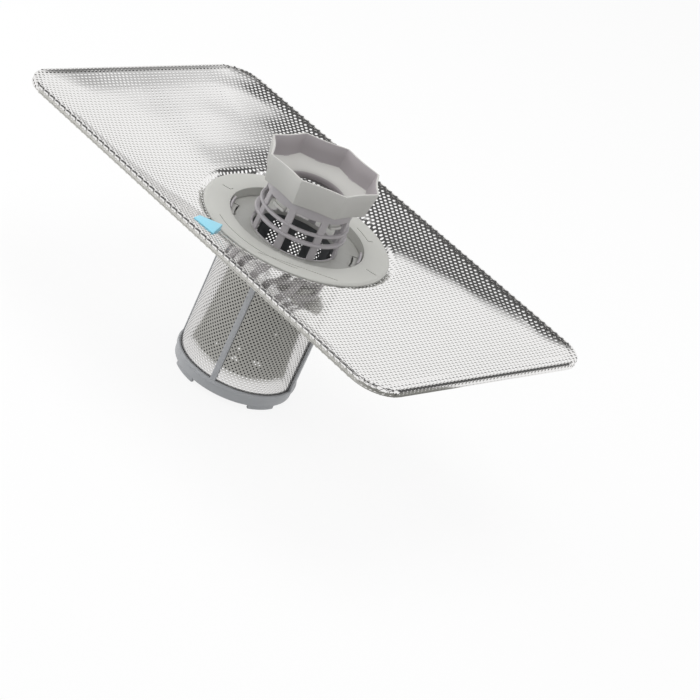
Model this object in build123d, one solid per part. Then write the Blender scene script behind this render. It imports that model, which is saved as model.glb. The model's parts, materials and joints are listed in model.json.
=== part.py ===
"""Dishwasher filter: a perforated steel plate, a micro filter cylinder that locks in it by a
short turn, and a coarse filter with an eight-sided grip cup that lifts out of the cylinder.

Millimetres. The origin is on the cylinder's axis at the foot of the bayonet lugs, +Z up,
and X runs along the plate's long sides.
"""
import math
import os

from build123d import *

# Heights above the foot of the lugs
RIM_TOP = 119.0
SEAT_TOP = 106.6

# Filter plate
PLATE_LENGTH = 334.0
PLATE_WIDTH = 192.0
PLATE_CORNER = 21.0
SHEET = 0.6
HEM_HEIGHT = 3.0
HEM_ROUND = 1.4
HEM_WIDTH = 2.2
HEM_LIP = 0.4
SEAT_MARGIN = 2.5
SEAT_STEP_RUN = 2.5
SEAT_STEP_RISE = 2.6
SEAT_SQUARENESS = 0.5
# Sections of the dish between the hem and the seat's step: shares of the way out along X,
# along Y and up, and the corner radius as a share of the section's half width
DISH_SECTIONS = (
    (0.805, 0.722, 0.777, 0.351),
    (0.528, 0.405, 0.511, 0.719),
    (0.211, 0.127, 0.245, 0.875),
)
PLATE_CLEARANCE = 0.3
HOLE_PITCH = 27.0
HOLE_RADIUS = 5.0
HOLES_ACROSS = 12
HOLE_ROWS = 7

# Marker tab on the plate: a pointer, blunt at its outer left corner, with a sloping top.
# Places are (x, distance inwards from the plate's near edge).
TAB_TIP = (-2.4, 31.6)
TAB_BACK_RIGHT = (7.9, 14.7)
TAB_BACK_LEFT = (-7.7, 13.6)
TAB_LEFT = (-10.8, 17.2)
TAB_BACK_DROP = 2.8
TAB_SLOPE = 7.5
TAB_ROUND = 0.8
PEG_RADIUS = 1.2
PEG_HEAD_RADIUS = 2.2
PEG_LENGTH = 4.0
PEG_DROP = 5.0
PEG_PLACES = ((-4.5, 18.5), (2.5, 19.5))

# Collar: the flange that locks the cylinder in the plate
FLANGE_RADIUS = 60.0
FLANGE = 2.0
FLANGE_CHAMFER_RUN = 1.8
FLANGE_CHAMFER_DROP = 0.8
FLANGE_GAP = 0.2
WELL_STEP = 4.2
COLLAR_WALL = 2.0
LEDGE_DEPTH = 9.8
LEDGE = 2.0
LEDGE_REACH = 7.3
SKIRT_DEPTH = 6.0
SNAP_REACH = 1.3
SNAP_HEIGHT = 1.6
SNAP_GAP = 0.5
SNAP_SPREAD = 16.0
SNAP_ANGLES = (0.0, 90.0, 180.0, 270.0)
MARK_DEPTH = 0.5
MARK_WIDTH = 1.0
MARK_INSET = 6.5
MARK_LENGTH = 7.0
OPEN_MARK = 23.5
CLOSED_MARK = 70.0
GROOVE_INSET = 9.0
GROOVE_START = 74.0
GROOVE_SPREAD = 20.0

# Mesh frame: foot ring, ribs, top ring and bayonet lugs
FRAME_RADIUS = 39.1
FRAME_WALL = 1.7
FOOT_INSET = 0.7
FOOT_STEP = 2.2
FOOT_HEIGHT = 8.5
FOOT_BEAD = 2.6
FOOT_BEAD_REACH = 0.9
FOOT_CHAMFER = 0.8
MESH_LEDGE = 1.4
TOP_RING = 5.0
RIB_WIDTH = 3.6
RIB_ANGLE = -67.0
RIB_COUNT = 4
LUG_HEIGHT = 2.5
LUG_SPREAD = 30.0
LUG_ANGLE = -11.0
LUG_COUNT = 4
LUG_WALL = 2.2

# Fine mesh cylinder
MESH_WALL = 0.6
MESH_CLEARANCE = 0.1

# Coarse filter: dish, cage and grip catches
DISH = 1.8
DISH_DEPTH = 6.0
DISH_CLEARANCE = 0.4
DISH_SKIRT_WALL = 1.7
SEAT_CLEARANCE = 0.2
CAGE_INSET = 1.3
CAGE_TAPER = 1.3
CAGE_HEIGHT = 33.5
CAGE_WALL = 1.6
CAGE_RIB_WIDTH = 5.0
CAGE_RIB_COUNT = 8
CAGE_RIB_ANGLE = 22.5
RING_HEIGHT = 2.0
LOWER_RING_LEVEL = 10.0
UPPER_RING_LEVEL = 16.5
UPPER_RING_INSET = 0.9
SILL = 0.8
TOP_BAND = 7.3
CATCH_ANGLE = 37.0
CATCH_SPREAD = 22.0
CATCH_HEIGHT = 4.6
CATCH_WALL = 1.4
CATCH_INSET = 0.2
CATCH_SLOT = 1.0
CATCH_SLOT_INSET = 5.3

# Strainer tube under the dish
TUBE_GAP = 7.1
TUBE_WALL = 1.6
TUBE_FOOT = 17.0
TUBE_FLOOR = 1.6
TUBE_SLOTS = 12
TUBE_SLOT_WIDTH = 7.5
TUBE_BAND = 5.0
TUBE_ROWS = 3
TUBE_HOLE_RADIUS = 4.0
TUBE_HOLE_PITCH = 14.0

# Grip cup
CUP_SIDES = 8
CUP_CORNER_ANGLE = 22.5
CUP_FOOT_REACH = 7.8
CUP_RIM_REACH = 10.6
CUP_HEIGHT = 17.5
CUP_WALL = 1.8
CUP_BOW = 1.2
CUP_CORNER_ROUND = 2.2
CUP_FLOOR = 2.0
BOWL_DIP = 2.7
BOWL_MIDDLE_RISE = 1.3
BOWL_EDGE_RISE = 7.0
CUP_HOLE_RADIUS = 13.0
SPIGOT_CLEARANCE = 0.2
SPIGOT_DEPTH = 5.8
SPIGOT_WALL = 1.6
FINGER_DEPTH = 6.0
FINGER_WIDTH = 9.0
FINGER_NOSE = 1.3
FINGER_NOSE_HEIGHT = 2.0
FINGER_ANGLE = 45.0
FINGER_COUNT = 4

# Levels and radii that follow from the sizes above
FLANGE_BOTTOM = SEAT_TOP + FLANGE_GAP
FLANGE_TOP = FLANGE_BOTTOM + FLANGE
MARK_RADIUS = FLANGE_RADIUS - MARK_INSET
GROOVE_RADIUS = FLANGE_RADIUS - GROOVE_INSET
WELL_RADIUS = FRAME_RADIUS + WELL_STEP
COLLAR_RADIUS = WELL_RADIUS + COLLAR_WALL
SEAT_HALF = FLANGE_RADIUS + SEAT_MARGIN
STEP_HALF = SEAT_HALF + SEAT_STEP_RUN
STEP_TOP = SEAT_TOP + SEAT_STEP_RISE
LEDGE_RADIUS = WELL_RADIUS - LEDGE_REACH
LEDGE_TOP = FLANGE_TOP - LEDGE_DEPTH
LEDGE_BOTTOM = LEDGE_TOP - LEDGE
FRAME_INNER = FRAME_RADIUS - FRAME_WALL
SKIRT_RADIUS = FRAME_RADIUS + MESH_CLEARANCE
MESH_RADIUS = FRAME_INNER - MESH_CLEARANCE
FOOT_RADIUS = FRAME_RADIUS - FOOT_INSET
FOOT_BORE = FRAME_INNER - FOOT_STEP
FOOT_TOP = LUG_HEIGHT + FOOT_HEIGHT
TUBE_RADIUS = FRAME_RADIUS - (FRAME_WALL + MESH_CLEARANCE + MESH_WALL + TUBE_GAP)
DISH_TOP = FLANGE_TOP - DISH_DEPTH
DISH_BOTTOM = DISH_TOP - DISH
DISH_RADIUS = WELL_RADIUS - DISH_CLEARANCE
CATCH_SLOT_RADIUS = DISH_RADIUS - CATCH_SLOT_INSET
CAGE_FOOT_RADIUS = TUBE_RADIUS - CAGE_INSET
CAGE_TOP_RADIUS = CAGE_FOOT_RADIUS - CAGE_TAPER
LOWER_RING_RADIUS = TUBE_RADIUS
UPPER_RING_RADIUS = TUBE_RADIUS - UPPER_RING_INSET
CUP_BOTTOM = DISH_TOP + CAGE_HEIGHT
CUP_TOP = CUP_BOTTOM + CUP_HEIGHT
CUP_FOOT_RADIUS = CAGE_TOP_RADIUS + CUP_FOOT_REACH
CUP_RIM_RADIUS = CAGE_TOP_RADIUS + CUP_RIM_REACH
BOWL_BOTTOM = CUP_BOTTOM - BOWL_DIP
BOWL_EDGE = CUP_BOTTOM + BOWL_EDGE_RISE
SPIGOT_RADIUS = CAGE_TOP_RADIUS - CAGE_WALL - SPIGOT_CLEARANCE
BAND_BOTTOM = CUP_BOTTOM - TOP_BAND
EXTRA = 1.0


def turned(points):
    """Solid of revolution about Z from a closed outline of (radius, height) points."""
    outline = make_face(Plane.XZ * Polyline(points, close=True))
    return revolve(outline, Axis.Z)


def ring(inner, outer, low, high):
    """Plain ring between two radii and two heights."""
    return turned([(inner, low), (outer, low), (outer, high), (inner, high)])


def sector(inner, outer, low, high, angle, spread):
    """Part of a ring, centred on an angle in degrees."""
    outline = Polyline([(inner, 0, low), (outer, 0, low), (outer, 0, high), (inner, 0, high)], close=True)
    return Rot(0, 0, angle - spread / 2) * revolve(make_face(outline), Axis.Z, spread)


def spoke(inner, outer, width, low, high, angle):
    """Upright bar that runs outwards at an angle in degrees."""
    bar = Pos((inner + outer) / 2, 0, (low + high) / 2) * Box(outer - inner, width, high - low)
    return Rot(0, 0, angle) * bar


def spaced(count, start):
    """Angles of a number of equal steps round a circle."""
    return [start + 360 / count * step for step in range(count)]


def plate_section(half_x, half_y, corner, height):
    """Rounded rectangle across the plate at one height."""
    return Pos(0, 0, height) * RectangleRounded(2 * half_x, 2 * half_y, corner)


def plate_bowl(drop):
    """Space over the plate's dished face, lowered by a distance."""
    half_x = PLATE_LENGTH / 2 - HEM_WIDTH
    half_y = PLATE_WIDTH / 2 - HEM_WIDTH
    corner = PLATE_CORNER - HEM_WIDTH
    edge_x = half_x - HEM_LIP
    edge_y = half_y - HEM_LIP
    edge_top = RIM_TOP - HEM_LIP
    sections = [
        plate_section(half_x, half_y, corner, RIM_TOP),
        plate_section(edge_x, edge_y, corner - HEM_LIP, edge_top),
    ]
    for share_x, share_y, share_up, share_corner in DISH_SECTIONS:
        across = STEP_HALF + share_y * (edge_y - STEP_HALF)
        along = STEP_HALF + share_x * (edge_x - STEP_HALF)
        height = STEP_TOP + share_up * (edge_top - STEP_TOP)
        sections.append(plate_section(along, across, share_corner * across, height))
    sections.append(plate_section(STEP_HALF, STEP_HALF, STEP_HALF - SEAT_SQUARENESS, STEP_TOP))
    sections.append(plate_section(SEAT_HALF, SEAT_HALF, SEAT_HALF - SEAT_SQUARENESS, SEAT_TOP))
    return Pos(0, 0, -drop) * loft(sections, ruled=True)


def perforation():
    """Staggered grid of round openings through the dish, outside the collar's seat."""
    places = []
    row_pitch = HOLE_PITCH * math.sqrt(3) / 2
    for row in range(HOLE_ROWS):
        step = row - (HOLE_ROWS - 1) // 2
        count = HOLES_ACROSS - (step + 1) % 2
        for column in range(count):
            place = ((column - (count - 1) / 2) * HOLE_PITCH, step * row_pitch)
            if math.hypot(*place) > FLANGE_RADIUS + 2 * HOLE_RADIUS:
                places.append(place)
    holes = Sketch() + [Pos(x, y) * Circle(HOLE_RADIUS) for x, y in places]
    return Pos(0, 0, SEAT_TOP - EXTRA) * extrude(holes, RIM_TOP - SEAT_TOP + EXTRA)


def filter_plate():
    """Dished steel sheet with a rolled hem, round openings and a round hole for the collar."""
    outline = plate_section(PLATE_LENGTH / 2, PLATE_WIDTH / 2, PLATE_CORNER, RIM_TOP - HEM_HEIGHT)
    hem = extrude(outline, HEM_HEIGHT)
    hem = fillet(hem.edges().group_by(Axis.Z)[-1], HEM_ROUND)
    inside = plate_section(
        PLATE_LENGTH / 2 - SHEET, PLATE_WIDTH / 2 - SHEET, PLATE_CORNER - SHEET, RIM_TOP - HEM_HEIGHT
    )
    hollow = extrude(inside, HEM_HEIGHT - SHEET)
    hollow = fillet(hollow.edges().group_by(Axis.Z)[-1], HEM_ROUND - SHEET)
    hole = Pos(0, 0, SEAT_TOP) * Cylinder(COLLAR_RADIUS + PLATE_CLEARANCE, 4 * SHEET)
    plate = hem - hollow + plate_bowl(SHEET) - plate_bowl(0) - hole
    for place in PEG_PLACES:
        plate -= peg_place(place) * Cylinder(PEG_RADIUS, PEG_LENGTH)
    return plate - perforation()


def by_near_edge(place):
    """Point (x, y) at a distance inwards from the plate's near edge."""
    return place[0], place[1] - PLATE_WIDTH / 2


def peg_place(place):
    """Middle of a peg of the marker tab."""
    x, y = by_near_edge(place)
    return Pos(x, y, RIM_TOP - PEG_DROP)


def marker_tab():
    """Pointer that sits on the dish, held by two headed pegs that pass through the sheet."""
    corners = [by_near_edge(place) for place in (TAB_TIP, TAB_LEFT, TAB_BACK_LEFT, TAB_BACK_RIGHT)]
    outline = make_face(Polyline(corners, close=True))
    outline = fillet(outline.vertices(), TAB_ROUND)
    block = Pos(0, 0, SEAT_TOP) * extrude(outline, RIM_TOP - SEAT_TOP)
    size = PLATE_WIDTH / 2
    over = Rot(-TAB_SLOPE, 0, 0) * Pos(0, 0, size / 2) * Box(size, size, size)
    over = Pos(0, by_near_edge(TAB_BACK_LEFT)[1], RIM_TOP - TAB_BACK_DROP) * over
    tab = (block - over) & plate_bowl(0)
    under = plate_bowl(SHEET)
    for place in PEG_PLACES:
        tab += peg_place(place) * Cylinder(PEG_RADIUS, PEG_LENGTH) - plate_bowl(0)
        tab += peg_place(place) * Cylinder(PEG_HEAD_RADIUS, PEG_LENGTH) - under
    return tab


def index_mark(angle):
    """Straight mark cut in the flange's upper face."""
    half = MARK_LENGTH / 2
    low = FLANGE_TOP - MARK_DEPTH
    return spoke(MARK_RADIUS - half, MARK_RADIUS + half, MARK_WIDTH, low, FLANGE_TOP + EXTRA, angle)


def lock_collar():
    """Flange with the well for the coarse filter, the ledge that carries it and a lower skirt."""
    skirt_outer = SKIRT_RADIUS + COLLAR_WALL
    collar = turned([
        (WELL_RADIUS, FLANGE_TOP),
        (FLANGE_RADIUS - FLANGE_CHAMFER_RUN, FLANGE_TOP),
        (FLANGE_RADIUS, FLANGE_TOP - FLANGE_CHAMFER_DROP),
        (FLANGE_RADIUS, FLANGE_BOTTOM),
        (COLLAR_RADIUS, FLANGE_BOTTOM),
        (COLLAR_RADIUS, LEDGE_BOTTOM),
        (skirt_outer, LEDGE_BOTTOM),
        (skirt_outer, LEDGE_BOTTOM - SKIRT_DEPTH),
        (SKIRT_RADIUS, LEDGE_BOTTOM - SKIRT_DEPTH),
        (SKIRT_RADIUS, LEDGE_BOTTOM),
        (LEDGE_RADIUS, LEDGE_BOTTOM),
        (LEDGE_RADIUS, LEDGE_TOP),
        (WELL_RADIUS, LEDGE_TOP),
    ])
    snap_top = SEAT_TOP - SHEET - SNAP_GAP
    snap_low = snap_top - SNAP_HEIGHT
    snap_outer = COLLAR_RADIUS + SNAP_REACH
    for angle in SNAP_ANGLES:
        collar += sector(WELL_RADIUS + COLLAR_WALL / 2, snap_outer, snap_low, snap_top, angle, SNAP_SPREAD)
    for turn in (0, 180):
        collar -= index_mark(OPEN_MARK + turn)
        collar -= index_mark(CLOSED_MARK + turn)
        collar -= sector(
            GROOVE_RADIUS - MARK_WIDTH / 2,
            GROOVE_RADIUS + MARK_WIDTH / 2,
            FLANGE_TOP - MARK_DEPTH,
            FLANGE_TOP + EXTRA,
            GROOVE_START + GROOVE_SPREAD / 2 + turn,
            GROOVE_SPREAD,
        )
    return collar


def mesh_frame():
    """Foot ring with bayonet lugs, upright ribs and the ring that seats under the collar."""
    bead_top = FOOT_TOP - FOOT_CHAMFER / 2
    bead_bottom = bead_top - FOOT_BEAD
    frame = turned([
        (FOOT_BORE, LUG_HEIGHT),
        (FOOT_RADIUS - FOOT_CHAMFER, LUG_HEIGHT),
        (FOOT_RADIUS, LUG_HEIGHT + FOOT_CHAMFER),
        (FOOT_RADIUS, bead_bottom),
        (FOOT_RADIUS + FOOT_BEAD_REACH, bead_bottom + FOOT_CHAMFER / 2),
        (FOOT_RADIUS + FOOT_BEAD_REACH, bead_top - FOOT_CHAMFER / 2),
        (FOOT_RADIUS + FOOT_BEAD_REACH / 2, FOOT_TOP),
        (FRAME_INNER, FOOT_TOP),
        (FRAME_INNER, FOOT_TOP - MESH_LEDGE),
        (FOOT_BORE, FOOT_TOP - MESH_LEDGE),
    ])
    frame += ring(FRAME_INNER, FRAME_RADIUS, LEDGE_BOTTOM - TOP_RING, LEDGE_BOTTOM)
    rib_shell = ring(FRAME_INNER, FRAME_RADIUS, FOOT_TOP - EXTRA, LEDGE_BOTTOM - EXTRA)
    for angle in spaced(RIB_COUNT, RIB_ANGLE):
        bar = spoke(FRAME_INNER - EXTRA, FRAME_RADIUS + EXTRA, RIB_WIDTH, 0, LEDGE_BOTTOM, angle)
        frame += rib_shell & bar
    lug_outer = FOOT_RADIUS - FOOT_CHAMFER
    for angle in spaced(LUG_COUNT, LUG_ANGLE):
        frame += sector(lug_outer - LUG_WALL, lug_outer, 0, LUG_HEIGHT + EXTRA, angle, LUG_SPREAD)
    return frame


def fine_mesh():
    """Perforated steel cylinder that stands on the foot ring inside the ribs."""
    return ring(MESH_RADIUS - MESH_WALL, MESH_RADIUS, FOOT_TOP - MESH_LEDGE, LEDGE_BOTTOM - MESH_CLEARANCE)


def cage_radius(height):
    """Outer radius of the tapered cage wall at a height."""
    share = (height - DISH_TOP) / (CUP_BOTTOM - DISH_TOP)
    return CAGE_FOOT_RADIUS + (CAGE_TOP_RADIUS - CAGE_FOOT_RADIUS) * share


def cage_ring(radius, low):
    """Rounded ring that stands out of the cage wall."""
    inner = cage_radius(low) - CAGE_WALL
    edge = RING_HEIGHT / 4
    return turned([
        (inner, low),
        (radius - edge, low),
        (radius, low + edge),
        (radius, low + RING_HEIGHT - edge),
        (radius - edge, low + RING_HEIGHT),
        (inner, low + RING_HEIGHT),
    ])


def strainer_tube():
    """Slotted tube with a drilled floor that hangs under the dish inside the mesh."""
    tube = ring(TUBE_RADIUS - TUBE_WALL, TUBE_RADIUS, TUBE_FOOT, DISH_BOTTOM)
    tube += Pos(0, 0, TUBE_FOOT + TUBE_FLOOR / 2) * Cylinder(TUBE_RADIUS - TUBE_WALL / 2, TUBE_FLOOR)
    row_height = (DISH_BOTTOM - TUBE_FOOT - TUBE_BAND * (TUBE_ROWS + 1)) / TUBE_ROWS
    for row in range(TUBE_ROWS):
        low = TUBE_FOOT + TUBE_BAND + row * (row_height + TUBE_BAND)
        high = low + row_height
        for angle in spaced(TUBE_SLOTS, 0):
            tube -= spoke(TUBE_RADIUS - 2 * TUBE_WALL, TUBE_RADIUS + EXTRA, TUBE_SLOT_WIDTH, low, high, angle)
    drill = Pos(0, 0, TUBE_FOOT) * Cylinder(TUBE_HOLE_RADIUS, 4 * TUBE_FLOOR)
    tube -= drill
    for angle in spaced(6, 0):
        tube -= Rot(0, 0, angle) * Pos(TUBE_HOLE_PITCH, 0, 0) * drill
    return tube


def coarse_cage():
    """Dish with two grip catches, and the barred cage that carries the cup."""
    lower_ring = DISH_TOP + LOWER_RING_LEVEL
    upper_ring = DISH_TOP + UPPER_RING_LEVEL
    wall_foot = cage_radius(DISH_BOTTOM)
    wall = turned([
        (wall_foot - CAGE_WALL, DISH_BOTTOM),
        (wall_foot, DISH_BOTTOM),
        (CAGE_TOP_RADIUS, CUP_BOTTOM),
        (CAGE_TOP_RADIUS - CAGE_WALL, CUP_BOTTOM),
    ])
    rows = [
        (DISH_TOP + SILL, lower_ring),
        (lower_ring + RING_HEIGHT, upper_ring),
        (upper_ring + RING_HEIGHT, BAND_BOTTOM),
    ]
    for low, high in rows:
        windows = ring(CAGE_TOP_RADIUS - 3 * CAGE_WALL, CAGE_FOOT_RADIUS + CAGE_WALL, low, high)
        reach = CAGE_FOOT_RADIUS + 2 * CAGE_WALL
        for angle in spaced(CAGE_RIB_COUNT, CAGE_RIB_ANGLE):
            windows -= spoke(CAGE_TOP_RADIUS / 2, reach, CAGE_RIB_WIDTH, low, high, angle)
        wall -= windows
    dish = ring(wall_foot - CAGE_WALL, DISH_RADIUS, DISH_BOTTOM, DISH_TOP)
    dish += ring(DISH_RADIUS - DISH_SKIRT_WALL, DISH_RADIUS, LEDGE_TOP + SEAT_CLEARANCE, DISH_BOTTOM)
    for turn in (0, 180):
        angle = CATCH_ANGLE + turn
        slot_outer = CATCH_SLOT_RADIUS + CATCH_SLOT
        tongue = DISH_RADIUS - CATCH_INSET
        top = DISH_TOP + CATCH_HEIGHT
        dish += sector(tongue - CATCH_WALL, tongue, DISH_BOTTOM + DISH / 2, top, angle, CATCH_SPREAD)
        low = DISH_BOTTOM - EXTRA
        high = DISH_TOP + EXTRA
        slot = sector(CATCH_SLOT_RADIUS, slot_outer, low, high, angle, CATCH_SPREAD)
        for side in (-1, 1):
            end = angle + side * CATCH_SPREAD / 2
            slot += spoke(CATCH_SLOT_RADIUS + CATCH_SLOT / 4, tongue - CATCH_WALL, CATCH_SLOT, low, high, end)
        dish -= slot
    cage = wall + cage_ring(LOWER_RING_RADIUS, lower_ring) + cage_ring(UPPER_RING_RADIUS, upper_ring)
    return dish + cage


def cup_section(corner_radius, height):
    """Eight-sided outline with hollowed sides and rounded corners."""
    corners = [
        Vector(corner_radius * math.cos(math.radians(angle)), corner_radius * math.sin(math.radians(angle)))
        for angle in spaced(CUP_SIDES, CUP_CORNER_ANGLE)
    ]
    sides = []
    for start, end in zip(corners, corners[1:] + corners[:1]):
        middle = (start + end) * 0.5
        sides.append(ThreePointArc(start, middle * (1 - CUP_BOW / middle.length), end))
    outline = make_face(sides)
    return Pos(0, 0, height) * fillet(outline.vertices(), CUP_CORNER_ROUND)


def cup_bowl():
    """Space over the cup's funnel floor."""
    curve = ThreePointArc(
        (CUP_HOLE_RADIUS, BOWL_BOTTOM),
        (CAGE_TOP_RADIUS, CUP_BOTTOM + BOWL_MIDDLE_RISE),
        (CUP_RIM_RADIUS, BOWL_EDGE),
    )
    lid = Polyline(
        (CUP_RIM_RADIUS, BOWL_EDGE), (CUP_RIM_RADIUS, CUP_TOP + EXTRA), (0, CUP_TOP + EXTRA),
        (0, BOWL_BOTTOM), (CUP_HOLE_RADIUS, BOWL_BOTTOM),
    )
    return revolve(make_face(Plane.XZ * (curve + lid)), Axis.Z)


def grip_cup():
    """Eight-sided cup with a funnel floor, and a spigot with snap fingers that holds it in the cage."""
    cup = loft([cup_section(CUP_FOOT_RADIUS, CUP_BOTTOM), cup_section(CUP_RIM_RADIUS, CUP_TOP)], ruled=True)
    taper = (CUP_RIM_RADIUS - CUP_FOOT_RADIUS) / CUP_HEIGHT
    inside = loft([
        cup_section(CUP_FOOT_RADIUS - CUP_WALL, CUP_BOTTOM),
        cup_section(CUP_RIM_RADIUS - CUP_WALL + taper * EXTRA, CUP_TOP + EXTRA),
    ], ruled=True)
    spigot_bottom = CUP_BOTTOM - SPIGOT_DEPTH
    cup += ring(0, SPIGOT_RADIUS, spigot_bottom, CUP_BOTTOM)
    under_floor = BOWL_BOTTOM - CUP_FLOOR
    cup -= ring(0, SPIGOT_RADIUS - SPIGOT_WALL, spigot_bottom, under_floor)
    funnel = ring(0, SPIGOT_RADIUS - SPIGOT_WALL, BOWL_BOTTOM, CUP_BOTTOM + EXTRA)
    cup -= cup_bowl() & (inside + funnel)
    cup -= Pos(0, 0, CUP_BOTTOM) * Cylinder(CUP_HOLE_RADIUS, 2 * CUP_HEIGHT)
    finger_low = spigot_bottom - FINGER_DEPTH
    finger_shell = ring(SPIGOT_RADIUS - SPIGOT_WALL, SPIGOT_RADIUS, finger_low, spigot_bottom + EXTRA)
    nose_top = finger_low + FINGER_NOSE_HEIGHT
    nose_shell = ring(SPIGOT_RADIUS - SPIGOT_WALL, SPIGOT_RADIUS + FINGER_NOSE, finger_low, nose_top)
    high = spigot_bottom + EXTRA
    for angle in spaced(FINGER_COUNT, FINGER_ANGLE):
        bar = spoke(SPIGOT_RADIUS / 2, CAGE_FOOT_RADIUS, FINGER_WIDTH, finger_low, high, angle)
        cup += (finger_shell + nose_shell) & bar
    return cup


NODES = {
    "filter_plate": filter_plate,
    "marker_tab": marker_tab,
    "lock_collar": lock_collar,
    "mesh_frame": mesh_frame,
    "fine_mesh": fine_mesh,
    "coarse_cage": coarse_cage,
    "strainer_tube": strainer_tube,
    "grip_cup": grip_cup,
}

os.makedirs("parts", exist_ok=True)
for name, build in NODES.items():
    export_step(build(), f"parts/{name}.step")
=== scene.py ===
"""Dishwasher filter: perforated steel plate, mesh cylinder with its locking flange, and the
lift-out coarse filter with its eight-sided grip cup, in soft studio light."""
import json
import math

import bmesh
import bpy
import numpy as np
from mathutils import Matrix, Vector


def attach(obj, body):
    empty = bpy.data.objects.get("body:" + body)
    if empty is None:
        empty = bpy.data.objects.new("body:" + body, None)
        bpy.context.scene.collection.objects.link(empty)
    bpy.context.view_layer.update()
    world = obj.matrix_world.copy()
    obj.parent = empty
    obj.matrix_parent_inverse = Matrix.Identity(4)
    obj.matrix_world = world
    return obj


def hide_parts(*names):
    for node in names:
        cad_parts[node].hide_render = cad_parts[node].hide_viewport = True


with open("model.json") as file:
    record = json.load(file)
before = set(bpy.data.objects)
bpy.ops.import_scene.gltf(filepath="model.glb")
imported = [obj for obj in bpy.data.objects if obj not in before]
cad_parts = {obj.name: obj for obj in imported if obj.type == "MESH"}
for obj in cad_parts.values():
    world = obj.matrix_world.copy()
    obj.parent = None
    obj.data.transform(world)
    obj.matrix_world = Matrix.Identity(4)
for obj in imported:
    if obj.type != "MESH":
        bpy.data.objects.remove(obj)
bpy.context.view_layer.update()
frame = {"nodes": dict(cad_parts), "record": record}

MM = 0.001
# Points this close together, in millimetres, count as one
TOUCH = 0.01


# Modelling tools

def drop_selection():
    """Back to object mode with nothing selected."""
    if bpy.context.mode != "OBJECT":
        bpy.ops.object.mode_set(mode="OBJECT")
    bpy.ops.object.select_all(action="DESELECT")


def pick(*pieces):
    """Select these pieces only; the first is the active one."""
    drop_selection()
    for piece in pieces:
        piece.select_set(True)
    bpy.context.view_layer.objects.active = pieces[0]


def settle(name):
    """Name the active piece and put its place into its mesh."""
    piece = bpy.context.object
    piece.name = name
    piece.data.name = name
    bpy.ops.object.transform_apply(location=True, rotation=True, scale=True)
    return piece


def edit(piece, kind="VERT"):
    """Edit mode on one piece with all of it selected."""
    pick(piece)
    bpy.ops.object.mode_set(mode="EDIT")
    bpy.ops.mesh.select_mode(type=kind)
    bpy.ops.mesh.select_all(action="SELECT")


def points(piece):
    """The vertices as rows of x, y and z in millimetres."""
    flat = np.empty(len(piece.data.vertices) * 3)
    piece.data.vertices.foreach_get("co", flat)
    return flat.reshape(-1, 3) / MM


def place_points(piece, rows):
    """Put the vertices at rows of x, y and z in millimetres."""
    piece.data.vertices.foreach_set("co", (rows * MM).ravel())
    piece.data.update()


def face_middles(piece):
    """The faces' middles as rows of x, y and z in millimetres."""
    flat = np.empty(len(piece.data.polygons) * 3)
    piece.data.polygons.foreach_get("center", flat)
    return flat.reshape(-1, 3) / MM


def cut_faces(piece, gone):
    """Delete the faces that a row of true and false marks, and what then hangs loose."""
    drop_selection()
    mesh = piece.data
    mesh.vertices.foreach_set("select", np.zeros(len(mesh.vertices), bool))
    mesh.edges.foreach_set("select", np.zeros(len(mesh.edges), bool))
    mesh.polygons.foreach_set("select", np.asarray(gone, bool))
    pick(piece)
    bpy.ops.object.mode_set(mode="EDIT")
    bpy.ops.mesh.select_mode(type="FACE")
    bpy.ops.mesh.delete(type="FACE")
    bpy.ops.mesh.select_all(action="SELECT")
    bpy.ops.mesh.delete_loose()
    bpy.ops.object.mode_set(mode="OBJECT")


def modify(piece, kind, **settings):
    """Add a modifier with its settings and apply it."""
    pick(piece)
    bpy.ops.object.modifier_add(type=kind)
    modifier = piece.modifiers[-1]
    for setting, value in settings.items():
        setattr(modifier, setting, value)
    bpy.ops.object.modifier_apply(modifier=modifier.name)


def thicken(piece, thickness, offset=-1):
    """Give a sheet its thickness in millimetres, inwards unless the offset is 1."""
    modify(piece, "SOLIDIFY", thickness=thickness * MM, offset=offset)


def close_up(piece, gap=0.002):
    """Merge points closer than a gap in millimetres, and turn the faces outwards."""
    edit(piece)
    bpy.ops.mesh.remove_doubles(threshold=gap * MM)
    bpy.ops.mesh.normals_make_consistent(inside=False)
    bpy.ops.object.mode_set(mode="OBJECT")


def soften(piece, width, segments, angle):
    """Round edges sharper than an angle over a width in millimetres."""
    modify(
        piece, "BEVEL", width=width * MM, segments=segments, limit_method="ANGLE",
        angle_limit=math.radians(angle), use_clamp_overlap=True, miter_outer="MITER_ARC",
    )
    return piece


def smooth(angle, *pieces):
    """Smooth shading that stops at edges sharper than an angle."""
    for piece in pieces:
        pick(piece)
        bpy.ops.object.shade_smooth_by_angle(angle=math.radians(angle))


def combine(name, *pieces):
    """Join pieces into one."""
    pick(*pieces)
    bpy.ops.object.join()
    return settle(name)


def move_selected(piece, rule):
    """Move the selected points to where a rule puts their x and y, in millimetres."""
    shape = bmesh.from_edit_mesh(piece.data)
    for point in shape.verts:
        if point.select:
            place = rule(point.co.x / MM, point.co.y / MM)
            point.co = [value * MM for value in place]
    bmesh.update_edit_mesh(piece.data)


def at(value, angle):
    """A size that is a number, or a function of the angle round the axis."""
    return value(angle) if callable(value) else value


def set_ring(piece, radius, height):
    """Move the selected ring's points to a radius and height, keeping their angles."""
    def on_ring(x, y):
        angle = math.atan2(y, x)
        reach = at(radius, angle)
        return reach * math.cos(angle), reach * math.sin(angle), at(height, angle)

    move_selected(piece, on_ring)


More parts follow.
